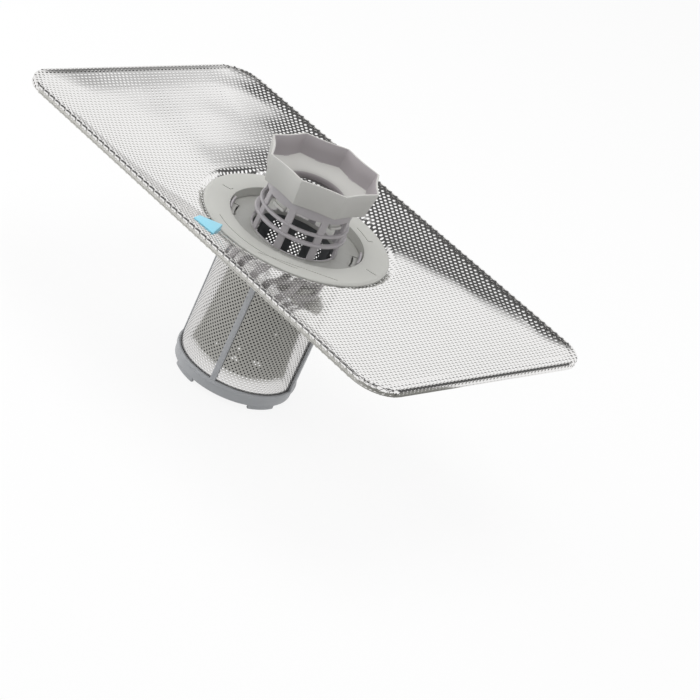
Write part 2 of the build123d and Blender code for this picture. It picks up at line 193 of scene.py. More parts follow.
def turned(name, rings, count, closed=True):
    """A circle extruded ring after ring, and back to the first unless it stays open.

    A ring is a radius and a height in millimetres.
    """
    drop_selection()
    bpy.ops.mesh.primitive_circle_add(vertices=count, radius=50 * MM)
    piece = settle(name)
    edit(piece, "EDGE")
    set_ring(piece, *rings[0])
    for ring in rings[1:] + (rings[:1] if closed else []):
        bpy.ops.mesh.extrude_region_move()
        set_ring(piece, *ring)
    close_up(piece)
    return piece


def bent_bar(name, inner, outer, low, high, angle, spread, cuts):
    """A block bent round the axis between two radii and heights, centred on an angle."""
    drop_selection()
    bpy.ops.mesh.primitive_cube_add(size=2 * MM)
    piece = settle(name)
    edit(piece)
    for step in range(1, cuts):
        bpy.ops.mesh.select_all(action="SELECT")
        bpy.ops.mesh.bisect(plane_co=(0, (2 * step / cuts - 1) * MM, 0), plane_no=(0, 1, 0))
    bpy.ops.object.mode_set(mode="OBJECT")
    rows = points(piece)
    turn = np.radians(angle + rows[:, 1] * spread / 2)
    reach = (inner + outer) / 2 + rows[:, 0] * (outer - inner) / 2
    level = (low + high) / 2 + rows[:, 2] * (high - low) / 2
    place_points(piece, np.column_stack([reach * np.cos(turn), reach * np.sin(turn), level]))
    return piece


def block(name, size, middle, angle=0):
    """A box of a size about a middle, turned about the axis afterwards."""
    drop_selection()
    bpy.ops.mesh.primitive_cube_add(size=1)
    piece = settle(name)
    x, y, z = (points(piece) * MM * np.array(size) + np.array(middle)).T
    c, s = math.cos(math.radians(angle)), math.sin(math.radians(angle))
    place_points(piece, np.column_stack([x * c - y * s, x * s + y * c, z]))
    return piece


def carve(piece, *tools):
    """Cut the tools' shapes out of the piece and delete the tools."""
    for tool in tools:
        modify(piece, "BOOLEAN", operation="DIFFERENCE", object=tool, solver="EXACT")
        bpy.data.objects.remove(tool)


def perforated_sheet(name, across, along, hole, columns, rows):
    """Flat sheet of staggered six-sided holes: two holes make a unit that is arrayed both ways.

    The unit is across by along millimetres. A hole's corners lie at the distance hole.
    """
    drop_selection()
    bpy.ops.mesh.primitive_circle_add(vertices=6, radius=hole * MM, rotation=(0, 0, math.pi / 6))
    piece = settle(name)
    apothem = hole * math.cos(math.pi / 6)
    lean = across / 2 - 1.5 * hole
    rise = along / 2 - apothem
    webs = [(30, lean, rise), (90, 0, along - 2 * apothem), (150, -lean, rise)]
    edit(piece, "EDGE")
    for facing, move_x, move_y in webs:
        bpy.ops.mesh.select_all(action="DESELECT")
        shape = bmesh.from_edit_mesh(piece.data)
        for side in shape.edges:
            middle = (side.verts[0].co + side.verts[1].co) / 2
            turn = math.degrees(math.atan2(middle.y, middle.x))
            on_hole = abs(middle.length / MM - apothem) < TOUCH
            side.select_set(on_hole and abs(turn - facing) < 1)
        bmesh.update_edit_mesh(piece.data)
        bpy.ops.mesh.extrude_region_move(
            TRANSFORM_OT_translate={"value": (move_x * MM, move_y * MM, 0)}
        )
    bpy.ops.mesh.select_mode(type="VERT")
    for side in (1, -1):
        corners = [
            (side * hole / 2, apothem),
            (side * (across / 2 - hole), along / 2),
            (side * hole / 2, along - apothem),
        ]
        bpy.ops.mesh.select_all(action="DESELECT")
        shape = bmesh.from_edit_mesh(piece.data)
        for point in shape.verts:
            x, y = point.co.x / MM, point.co.y / MM
            if any(abs(x - corner[0]) + abs(y - corner[1]) < TOUCH for corner in corners):
                point.select_set(True)
        bmesh.update_edit_mesh(piece.data)
        bpy.ops.mesh.edge_face_add()
    bpy.ops.mesh.select_all(action="SELECT")
    bpy.ops.mesh.duplicate_move(
        TRANSFORM_OT_translate={"value": (across / 2 * MM, along / 2 * MM, 0)}
    )
    bpy.ops.object.mode_set(mode="OBJECT")
    for shift, count in (((across * MM, 0, 0), columns), ((0, along * MM, 0), rows)):
        modify(
            piece, "ARRAY", count=count, use_relative_offset=False, use_constant_offset=True,
            constant_offset_displace=shift,
        )
    close_up(piece, 0.02)
    return piece


# Sizes in millimetres; heights are above the lugs' lower face

# Plate: its outline, the hem's upright part and bend, the sheet and its holes
RIM_TOP = 119.0
SEAT_TOP = 106.6
HALF_LENGTH = 167.0
HALF_WIDTH = 96.0
CORNER = 21.0
SKIRT = 2.8
ROLL = 1.4
HEM_FOOT = RIM_TOP - ROLL - SKIRT
SHEET = 0.45
SHEET_DROP = 0.12
PLATE_PITCH = 3.15
PLATE_HOLE = 1.0
SHEET_BORE = 48.5
PLATE_BORE = 45.7
BARE_RADIUS = 52.5

# Marker tab: its corners by side, its upper face, which slopes down inwards from the back, and
# how far it sinks into the sheet
TAB_TOP = 116.3
TAB_BACK = -82.4
TAB_SLOPE = 7.5
TAB_SINK = 0.4
TAB_CORNERS = {
    (-1, -1): (-8.2, -84.6), (1, -1): (8.0, -82.8), (1, 1): (-2.4, -64.4), (-1, 1): (-11.5, -76.6),
}
PEG_PLACES = ((-4.5, -77.5), (2.5, -76.5))
PEG_RADIUS = 1.2
PEG_HEAD_RADIUS = 2.2

# Collar: flange, well, the ledge that carries the coarse filter, lower skirt and marks
FLANGE_RADIUS = 60.0
FLANGE_TOP = 108.8
FLANGE_BOTTOM = 106.8
COLLAR_RADIUS = 45.3
WELL_RADIUS = 43.3
LEDGE_TOP = 99.0
LEDGE_BOTTOM = 97.0
LEDGE_RADIUS = 36.0
LOWER_SKIRT_RADIUS = 41.2
LOWER_SKIRT_FOOT = 91.0
MARK_WIDTH = 0.8
MARK_DEPTH = 0.35

# Mesh cylinder: its holes, how many stand round it and in how many rows, the room that the
# rows leave at both ends, the height of the first and the plain bands; and its frame
MESH_RADIUS = 37.2
MESH_LOW = 9.6
MESH_HIGH = 96.9
MESH_HOLE = 0.62
MESH_WALL = 0.35
MESH_ROUND = 89
MESH_ROWS = 27
MESH_MARGIN = 1.6
MESH_START = 1.4
MESH_BAND = 2.2
FRAME_RADIUS = 39.1
FRAME_INNER = 37.4
FOOT_RADIUS = 38.4
FOOT_BORE = 35.2
FOOT_LOW = 2.5
FOOT_HIGH = 11.0
RIB_ANGLE = -67
RIB_SPREAD = 5.4
LUG_ANGLE = -11
LUG_SPREAD = 30

# Coarse filter: dish, cage, tube and cup
WALL = 1.6
DISH_RADIUS = 42.9
DISH_TOP = 102.8
DISH_BOTTOM = 101.0
DISH_SKIRT = 99.2
CAGE_BORE = 26.6
CAGE_FOOT_RADIUS = 28.3
CAGE_TAPER = 1.3
CAGE_WINDOWS = [(103.6, 112.8), (114.8, 119.3), (121.3, 129.0)]
CATCH_ANGLE = 37
CATCH_SPREAD = 22
TUBE_RADIUS = 29.6
TUBE_FOOT = 17.0
TUBE_SLOTS = [(22.0, 43.3), (48.3, 69.7), (74.7, 96.0)]
DRILL_RADIUS = 4.0
DRILL_PITCH = 14
CUP_FOOT = 136.3
CUP_TOP = 153.8
CUP_FOOT_RADIUS = 34.8
CUP_RIM_RADIUS = 37.6
CUP_WALL = 1.8
CUP_BOW = 1.2
CUP_CORNER_CUT = 0.45
CUP_CORNER_SPREAD = 6.0
CUP_HOLE = 19.0
SPIGOT_RADIUS = 25.2
SPIGOT_BORE = 23.6
SPIGOT_FOOT = 130.5
THROAT_FOOT = 133.2
FINGER_FOOT = 124.5
FINGER_SPREAD = 21


# The plate

def inset(x, y, half_x, half_y, corner):
    """How far points lie inside a rounded rectangle; below zero outside it."""
    over_x = np.abs(x) - (half_x - corner)
    over_y = np.abs(y) - (half_y - corner)
    outside = np.hypot(np.maximum(over_x, 0), np.maximum(over_y, 0))
    return corner - outside - np.minimum(np.maximum(over_x, over_y), 0)


# Half sizes, corner radius and height of the upper face, from the rim to the seat
PLATE_LEVELS = [
    (HALF_LENGTH - 2.2, HALF_WIDTH - 2.2, 18.8, RIM_TOP),
    (HALF_LENGTH - 2.5, HALF_WIDTH - 2.5, 18.5, RIM_TOP - 0.22),
    (145.0, 85.5, 30.0, 116.5),
    (117.5, 76.5, 55.0, 114.0),
    (86.0, 68.6, 60.0, 111.5),
    (63.0, 63.0, 62.5, 109.0),
    (61.2, 61.2, 60.7, SEAT_TOP),
]
# The height field covers the plate and a margin of 5 mm, in steps of 1 mm
GRID_X = 172
GRID_Y = 101
# Creases are rounded over less near the hem and the flange than on the open dish
NEAR_BLUR = 0.7
FAR_BLUR = 4.0
BLUR_RUN = 8
HEM_REACH = 8
SEAT_REACH = 67


def blurred(field, spread):
    """The height field with its creases rounded over a spread in grid steps."""
    reach = int(3 * spread)
    weights = np.exp(-0.5 * (np.arange(-reach, reach + 1) / spread) ** 2)
    weights /= weights.sum()
    for axis, size in enumerate(field.shape):
        edges = [(reach, reach) if axis == k else (0, 0) for k in (0, 1)]
        padded = np.pad(field, edges, mode="edge")
        field = sum(w * np.roll(padded, -k, axis) for k, w in enumerate(weights))
        field = field.take(range(size), axis)
    return field


def plate_field():
    """Heights of the plate's upper face on the grid."""
    grid_x, grid_y = np.meshgrid(
        np.arange(-GRID_X, GRID_X + 1.0), np.arange(-GRID_Y, GRID_Y + 1.0), indexing="ij"
    )
    depths = [inset(grid_x, grid_y, *level[:3]) for level in PLATE_LEVELS]
    height = np.full(grid_x.shape, RIM_TOP)
    for k in range(len(PLATE_LEVELS) - 1):
        share = depths[k] / np.maximum(depths[k] - depths[k + 1], 1e-6)
        band = PLATE_LEVELS[k][3] + (PLATE_LEVELS[k + 1][3] - PLATE_LEVELS[k][3]) * share
        height = np.where((depths[k] > 0) & (depths[k + 1] <= 0), band, height)
    height = np.where(depths[-1] > 0, SEAT_TOP, height)
    from_hem = inset(grid_x, grid_y, HALF_LENGTH, HALF_WIDTH, CORNER) - HEM_REACH
    from_seat = np.hypot(grid_x, grid_y) - SEAT_REACH
    mix = np.clip(from_hem / BLUR_RUN, 0, 1) * np.clip(from_seat / BLUR_RUN, 0, 1)
    mix = mix * mix * (3 - 2 * mix)
    return blurred(height, NEAR_BLUR) * (1 - mix) + blurred(height, FAR_BLUR) * mix


PLATE_FIELD = plate_field()


def plate_height(x, y):
    """Height of the plate's upper face at points between those of the grid."""
    field = PLATE_FIELD
    column = np.clip(x + GRID_X, 0, 2 * GRID_X - 0.001)
    row = np.clip(y + GRID_Y, 0, 2 * GRID_Y - 0.001)
    i, j = column.astype(int), row.astype(int)
    u, v = column - i, row - j
    low = field[i, j] * (1 - u) + field[i + 1, j] * u
    high = field[i, j + 1] * (1 - u) + field[i + 1, j + 1] * u
    return low * (1 - v) + high * v


# How much wider the flat sheet is on each side than the plate, for the rolled hem
HEM_GROWTH = SKIRT + ROLL * math.pi / 2 - ROLL


def sheet_depth(x, y):
    """How far points lie inside the flat sheet's outline."""
    return inset(x, y, HALF_LENGTH + HEM_GROWTH, HALF_WIDTH + HEM_GROWTH, CORNER + HEM_GROWTH)


def plate_shape(flat):
    """Flat sheet points laid over the dish, the rolled hem and its upright part."""
    arc = ROLL * math.pi / 2
    x, y = flat[:, 0], flat[:, 1]
    depth = sheet_depth(x, y)
    core_x = np.clip(x, CORNER - HALF_LENGTH, HALF_LENGTH - CORNER)
    core_y = np.clip(y, CORNER - HALF_WIDTH, HALF_WIDTH - CORNER)
    out_x, out_y = x - core_x, y - core_y
    reach = np.maximum(np.hypot(out_x, out_y), 1e-9)
    turn = np.clip((depth - SKIRT) / ROLL, 0, math.pi / 2)
    on_hem = depth < SKIRT + arc
    step_in = np.where(on_hem, ROLL * (1 - np.cos(turn)), depth - HEM_GROWTH)
    hem_level = RIM_TOP - ROLL + ROLL * np.sin(turn) - np.clip(SKIRT - depth, 0, None)
    new_reach = CORNER - SHEET_DROP - step_in
    near_edge = depth < CORNER + HEM_GROWTH - 0.5
    moved_x = np.where(near_edge, core_x + out_x / reach * new_reach, x)
    moved_y = np.where(near_edge, core_y + out_y / reach * new_reach, y)
    level = np.where(on_hem, hem_level, plate_height(moved_x, moved_y))
    return np.column_stack([moved_x, moved_y, level - SHEET_DROP])


def rim_strip(name, rings):
    """A closed strip that follows the plate's outline; a ring is an inset and a height."""
    drop_selection()
    bpy.ops.mesh.primitive_plane_add(size=2 * MM)
    piece = settle(name)
    place_points(piece, points(piece) * np.array([HALF_LENGTH, HALF_WIDTH, 0]))
    edit(piece)
    bpy.ops.mesh.bevel(offset=CORNER * MM, segments=10, affect="VERTICES")
    bpy.ops.mesh.delete(type="ONLY_FACE")
    edit(piece, "EDGE")
    before = 0.0
    for k, (step_in, level) in enumerate(rings + rings[:1]):
        factor = (CORNER - step_in) / (CORNER - before)
        before = step_in

        def on_ring(x, y):
            core_x = max(CORNER - HALF_LENGTH, min(HALF_LENGTH - CORNER, x))
            core_y = max(CORNER - HALF_WIDTH, min(HALF_WIDTH - CORNER, y))
            return core_x + (x - core_x) * factor, core_y + (y - core_y) * factor, level

        if k:
            bpy.ops.mesh.extrude_region_move()
        move_selected(piece, on_ring)
    close_up(piece)
    return piece


def make_plate():
    """Perforated sheet over the dish and hem, its folded edge and the plain ring at its bore."""
    sheet = perforated_sheet("sheet", PLATE_PITCH * math.sqrt(3), PLATE_PITCH, PLATE_HOLE, 64, 66)
    flat = points(sheet)
    place_points(sheet, flat - (flat.max(0) + flat.min(0)) / 2)
    x, y = face_middles(sheet)[:, :2].T
    cut_faces(sheet, (sheet_depth(x, y) < 0.4) | (np.hypot(x, y) < SHEET_BORE))
    place_points(sheet, plate_shape(points(sheet)))
    thicken(sheet, SHEET, offset=1)
    edge = rim_strip("edge", [
        (0.02, HEM_FOOT), (0.02, HEM_FOOT + 0.6), (0.14, HEM_FOOT + 0.7), (0.7, HEM_FOOT + 0.7),
        (0.7, HEM_FOOT),
    ])
    fold = rim_strip("fold", [
        (0.58, HEM_FOOT + 0.1), (0.58, RIM_TOP - 1.75), (0.68, RIM_TOP - 1.3),
        (0.96, RIM_TOP - 0.9), (1.45, RIM_TOP - 0.67), (2.2, RIM_TOP - 0.7),
        (2.75, RIM_TOP - 1.2), (4.6, RIM_TOP - 1.75), (4.6, RIM_TOP - 1.95),
        (2.65, RIM_TOP - 1.4), (2.1, RIM_TOP - 0.9), (1.5, RIM_TOP - 0.88),
        (1.12, RIM_TOP - 1.08), (0.86, RIM_TOP - 1.45), (0.76, RIM_TOP - 1.8),
        (0.76, HEM_FOOT + 0.1),
    ])
    top = SEAT_TOP - SHEET_DROP
    bottom = top - SHEET - 0.1
    bare = turned("bare", [
        (PLATE_BORE, top), (BARE_RADIUS, top - SHEET), (BARE_RADIUS, bottom), (PLATE_BORE, bottom),
    ], 96)
    smooth(40, sheet)
    smooth(30, edge, fold, bare)
    return combine("plate_perforated", sheet, edge, fold, bare)


def make_tab():
    """Blue pointer with softened edges on the dish, and the two pegs that hold it."""
    body = block("tab", (2, 2, 2), (0, 0, 0))
    rows = []
    for x, y, z in points(body):
        flat_x, flat_y = TAB_CORNERS[round(x), round(y)]
        over = TAB_TOP - math.tan(math.radians(TAB_SLOPE)) * (flat_y - TAB_BACK)
        under = float(plate_height(flat_x, flat_y)) - TAB_SINK
        rows.append((flat_x, flat_y, over if z > 0 else under))
    place_points(body, np.array(rows))
    soften(body, 0.7, 3, 20)
    smooth(45, body)
    pegs = []
    for x, y in PEG_PLACES:
        peg = turned("peg", [
            (0.01, -1.6), (PEG_HEAD_RADIUS - 0.4, -1.6), (PEG_HEAD_RADIUS, -1.2),
            (PEG_HEAD_RADIUS, -0.6), (PEG_RADIUS, -0.6), (PEG_RADIUS, 0.5), (0.01, 0.5),
        ], 24)
        rows = points(peg) + np.array([x, y, 0])
        rows[:, 2] += plate_height(rows[:, 0], rows[:, 1])
        place_points(peg, rows)
        pegs.append(peg)
    smooth(35, *pegs)
    return combine("tab_blue", body, *pegs)


# The mesh cylinder and its frame

def make_mesh():
    """Finely perforated sheet rolled into a cylinder, with plain bands at both ends."""
    along = 2 * math.pi * MESH_RADIUS / MESH_ROUND
    up = (MESH_HIGH - MESH_LOW - 2 * MESH_MARGIN) / (MESH_ROWS + 0.01)
    sheet = perforated_sheet("rolled", up, along, MESH_HOLE, MESH_ROWS, MESH_ROUND)
    flat_x, flat_y = points(sheet)[:, :2].T
    turn = -flat_y / MESH_RADIUS
    rise = flat_x - flat_x.min() + MESH_LOW + MESH_START
    place_points(sheet, np.column_stack(
        [MESH_RADIUS * np.cos(turn), MESH_RADIUS * np.sin(turn), rise]
    ))
    close_up(sheet, 0.05)
    thicken(sheet, MESH_WALL)
    bands = []
    for low, high in ((MESH_LOW, MESH_LOW + MESH_BAND), (MESH_HIGH - MESH_BAND, MESH_HIGH)):
        bands.append(turned("band", [
            (MESH_RADIUS - 0.45, low), (MESH_RADIUS + 0.05, low),
            (MESH_RADIUS + 0.05, high), (MESH_RADIUS - 0.45, high),
        ], MESH_ROUND))
    smooth(40, sheet)
    smooth(30, *bands)
    return combine("mesh_rolled", sheet, *bands)


def make_frame():
    """Foot ring with its bead and lugs, four ribs and the top ring."""
    foot = turned("foot", [
        (FOOT_BORE, FOOT_LOW), (FOOT_RADIUS - 0.7, FOOT_LOW), (FOOT_RADIUS, FOOT_LOW + 0.7),
        (FOOT_RADIUS, 8.1), (39.2, 8.5), (39.3, 8.9), (39.3, 10.1), (39.1, 10.6),
        (38.8, FOOT_HIGH), (37.5, FOOT_HIGH), (37.5, MESH_LOW), (FOOT_BORE, MESH_LOW),
    ], 128)
    soften(foot, 0.25, 2, 40)
    top = turned("top", [
        (FRAME_INNER, 92.0), (FRAME_RADIUS, 92.0),
        (FRAME_RADIUS, LEDGE_BOTTOM), (FRAME_INNER, LEDGE_BOTTOM),
    ], 128)
    soften(top, 0.3, 2, 40)
    parts = [foot, top]
    for turn in range(0, 360, 90):
        rib = bent_bar(
            "rib", FRAME_INNER, FRAME_RADIUS, 10.0, 93.0, RIB_ANGLE + turn, RIB_SPREAD, cuts=4
        )
        lug = bent_bar("lug", 35.4, 37.6, 0.0, 3.4, LUG_ANGLE + turn, LUG_SPREAD, cuts=10)
        parts += [soften(rib, 0.5, 3, 60), soften(lug, 0.35, 2, 60)]
    smooth(40, *parts)
    return combine("frame_moulding", *parts)


def straight_mark(inner, outer, angle):
    """Tool for a straight mark on the flange between two radii."""
    size = (outer - inner, MARK_WIDTH, 1.0)
    return block("mark", size, ((inner + outer) / 2, 0, FLANGE_TOP), angle)


def round_mark(inner, width, angle, spread, cuts):
    """Tool for a mark that runs round the flange."""
    low, high = FLANGE_TOP - MARK_DEPTH, FLANGE_TOP + 0.5
    return bent_bar("mark", inner, inner + width, low, high, angle, spread, cuts)


def make_collar():
    """Flange with its marks, the well, the ledge and the skirt, and four snap beads."""
    body = turned("collar", [
        (WELL_RADIUS, FLANGE_TOP), (FLANGE_RADIUS - 1.8, FLANGE_TOP),
        (FLANGE_RADIUS, FLANGE_TOP - 0.8), (FLANGE_RADIUS, FLANGE_BOTTOM),
        (COLLAR_RADIUS, FLANGE_BOTTOM), (COLLAR_RADIUS, LEDGE_BOTTOM),
        (LOWER_SKIRT_RADIUS, LEDGE_BOTTOM), (LOWER_SKIRT_RADIUS, LOWER_SKIRT_FOOT),
        (FRAME_RADIUS + 0.1, LOWER_SKIRT_FOOT), (FRAME_RADIUS + 0.1, LEDGE_BOTTOM),
        (LEDGE_RADIUS, LEDGE_BOTTOM), (LEDGE_RADIUS, LEDGE_TOP), (WELL_RADIUS, LEDGE_TOP),
    ], 192)
    soften(body, 0.35, 3, 20)
    carve(
        body,
        straight_mark(47.0, 53.0, -156),
        round_mark(46.6, MARK_WIDTH, -157.5, spread=3.5, cuts=4),
        straight_mark(49.5, 56.5, 20),
        round_mark(47.9, MARK_WIDTH, 74.5, spread=17, cuts=12),
        straight_mark(48.1, 52.3, 66),
        round_mark(53.0, 0.6, -77, spread=68, cuts=32),
        block("mark", (0.6, 50.0, 0.7), (50.3, 0, FLANGE_TOP), -42.5),
    )
    parts = [body]
    for turn in range(0, 360, 90):
        bead = bent_bar(
            "bead", WELL_RADIUS + 1, COLLAR_RADIUS + 1.3, 103.7, 105.3, turn, spread=16, cuts=6
        )
        parts.append(soften(bead, 0.4, 2, 60))
    smooth(30, *parts)
    return combine("collar_moulding", *parts)


# The coarse filter

def windowed_wall(name, radius_at, foot, head, segments, count, start, spread, rows):
    """Round wall from a foot to a head, with windows between the two heights of each row.

    A row has a count of windows round the axis. Each is a spread wide, in degrees.
    """
    levels = [foot, *(level for row in rows for level in row), head]
    wall = turned(name, [(radius_at(level), level) for level in levels], segments, closed=False)
    x, y, level = face_middles(wall).T
    turn = (np.degrees(np.arctan2(y, x)) - start) % (360 / count)
    open_row = np.zeros(len(level), bool)
    for low, high in rows:
        open_row |= (level > low) & (level < high)
    cut_faces(wall, (turn < spread) & open_row)
    thicken(wall, WALL)
    return wall


def cage_ring(radius, low):
    """Rounded bar that runs round the cage."""
    return turned("bar", [
        (CAGE_BORE, low + 0.1), (radius - 0.6, low), (radius - 0.15, low + 0.35),
        (radius, low + 1.0), (radius - 0.15, low + 1.65), (radius - 0.6, low + 2.0),
        (CAGE_BORE, low + 1.9),
    ], 96)


def cage_radius(level):
    """Outer radius of the tapered cage at a height."""
    return CAGE_FOOT_RADIUS - CAGE_TAPER * (level - DISH_TOP) / (CUP_FOOT - DISH_TOP)


def make_cage():
    """Dish with two catches, windows, bars and the top band."""
    dish = turned("dish", [
        (CAGE_BORE, DISH_BOTTOM), (CAGE_BORE, DISH_TOP), (DISH_RADIUS, DISH_TOP),
        (DISH_RADIUS, DISH_SKIRT), (41.2, DISH_SKIRT), (41.2, DISH_BOTTOM),
    ], 144)
    slots = []
    tongues = []
    for angle in (CATCH_ANGLE, CATCH_ANGLE + 180):
        slots.append(bent_bar("slot", 37.6, 38.6, 100, 104, angle, CATCH_SPREAD, cuts=10))
        for side in (-CATCH_SPREAD / 2, CATCH_SPREAD / 2):
            slots.append(block("slot", (3.4, 1.0, 4.0), (39.8, 0, 102), angle + side))
        tongue = bent_bar("tongue", 41.3, 42.7, 102.0, 107.4, angle, CATCH_SPREAD, cuts=10)
        tongues.append(soften(tongue, 0.4, 2, 60))
    carve(dish, *slots)
    soften(dish, 0.3, 2, 40)
    wall = windowed_wall(
        "wall", cage_radius, DISH_BOTTOM, CUP_FOOT, segments=144,
        count=8, start=27.5, spread=35, rows=CAGE_WINDOWS,
    )
    soften(wall, 0.35, 2, 40)
    parts = [dish, wall, cage_ring(29.6, 112.8), cage_ring(28.7, 119.3), *tongues]
    smooth(35, *parts)
    return combine("cage_moulding", *parts)


def make_tube():
    """Slotted tube with its drilled floor."""
    wall = windowed_wall(
        "tube", lambda level: TUBE_RADIUS, TUBE_FOOT, DISH_BOTTOM, segments=120,
        count=12, start=-7.5, spread=15, rows=TUBE_SLOTS,
    )
    floor_top = TUBE_FOOT + WALL
    floor = turned("tube_floor", [
        (0.01, TUBE_FOOT), (28.4, TUBE_FOOT), (28.4, floor_top), (0.01, floor_top),
    ], 96)
    drills = []
    ring = [(DRILL_PITCH * math.cos(k * math.pi / 3), DRILL_PITCH * math.sin(k * math.pi / 3))
            for k in range(6)]
    for x, y in [(0, 0)] + ring:
        drill = turned("drill", [
            (0.01, 15.0), (DRILL_RADIUS, 15.0), (DRILL_RADIUS, 20.0), (0.01, 20.0),
        ], 32)
        place_points(drill, points(drill) + np.array([x, y, 0]))
        drills.append(drill)
    carve(floor, *drills)
    smooth(35, soften(wall, 0.25, 2, 40), soften(floor, 0.25, 2, 40))
    return combine("tube_moulding", wall, floor)


def octagon(circumradius):
    """Radius of the cup's outline by angle: hollowed sides and rounded corners."""
    half = 22.5

    def radius(angle):
        turn = math.degrees(angle) % (2 * half) - half
        from_side = half - abs(turn)
        side = circumradius * math.cos(math.pi / 8) / math.cos(math.radians(from_side))
        along = math.tan(math.radians(from_side)) / math.tan(math.pi / 8)
        near_corner = max(0.0, 1 - abs(turn) / CUP_CORNER_SPREAD)
        return side - CUP_BOW * (1 - along * along) - CUP_CORNER_CUT * near_corner ** 2

    return radius


# Radius and height of the cup's funnel floor, from the hole outwards
FUNNEL = [
    (CUP_HOLE, 135.4), (19.7, 136.7), (21.0, 137.7), (23.0, 138.7), (26.0, 139.9), (30.0, 141.0),
    (CUP_RIM_RADIUS, 142.0),
]


def floor_level(radius):
    """Height of the cup's floor at a radius."""
    return float(np.interp(radius, *zip(*FUNNEL)))


def cup_wall(level, less=0.0):
    """Radius by angle of the cup's outer wall at a height, less a distance."""
    at_foot, at_top = octagon(CUP_FOOT_RADIUS), octagon(CUP_RIM_RADIUS)
    share = (level - CUP_FOOT) / (CUP_TOP - CUP_FOOT)
    return lambda a: at_foot(a) + (at_top(a) - at_foot(a)) * share - less


def make_cup():
    """Eight-sided cup with its rim, funnel floor, hole, spigot and snap fingers."""
    inner = cup_wall(141.0, CUP_WALL)

    def floor_ring(radius):
        return radius, lambda a: floor_level(radius(a))

    body = turned("cup", [
        (CUP_HOLE, THROAT_FOOT), (SPIGOT_BORE, THROAT_FOOT), (SPIGOT_BORE, SPIGOT_FOOT),
        (SPIGOT_RADIUS, SPIGOT_FOOT), (SPIGOT_RADIUS, CUP_FOOT),
        (cup_wall(CUP_FOOT, 1.0), CUP_FOOT),
        (cup_wall(CUP_FOOT, 0.25), CUP_FOOT + 0.2),
        (cup_wall(CUP_FOOT + 0.9), CUP_FOOT + 0.9),
        (cup_wall(145.0), 145.0),
        (cup_wall(CUP_TOP - 0.6), CUP_TOP - 0.6),
        (cup_wall(CUP_TOP, 0.25), CUP_TOP - 0.12),
        (cup_wall(CUP_TOP, 0.8), CUP_TOP),
        (cup_wall(CUP_TOP, 1.4), CUP_TOP - 0.12),
        (cup_wall(CUP_TOP, 1.75), CUP_TOP - 0.6),
        (cup_wall(147.0, CUP_WALL), 147.0),
        (inner, lambda a: floor_level(inner(a)) + 0.7),
        (lambda a: inner(a) - 0.25, lambda a: floor_level(inner(a)) + 0.15),
        floor_ring(lambda a: inner(a) - 0.8),
        floor_ring(lambda a: inner(a) * 0.5 + 13.0),
        *reversed(FUNNEL[:5]), (CUP_HOLE, 134.3),
    ], 192)
    parts = [body]
    for turn in range(0, 360, 90):
        finger = bent_bar(
            "finger", SPIGOT_BORE, SPIGOT_RADIUS, FINGER_FOOT, SPIGOT_FOOT + 1,
            turn, FINGER_SPREAD, cuts=6,
        )
        nose = bent_bar(
            "nose", SPIGOT_BORE + 0.2, SPIGOT_RADIUS + 1.3, FINGER_FOOT, FINGER_FOOT + 2,
            turn, FINGER_SPREAD, cuts=6,
        )
        parts += [soften(finger, 0.3, 2, 60), soften(nose, 0.5, 2, 60)]
    smooth(32, *parts)
    return combine("cup_moulding", *parts)


# Finishes

class Value:
    """A shader socket that Python's operators work on."""

    def __init__(self, finish, socket):
        self.finish = finish
        self.socket = socket

    def math(self, operation, other):
        return self.finish.node("ShaderNodeMath", {"operation": operation}, [self, other])

    def __add__(self, other):
        return self.math("ADD", other)

    __radd__ = __add__

    def __mul__(self, other):
        return self.math("MULTIPLY", other)

    __rmul__ = __mul__


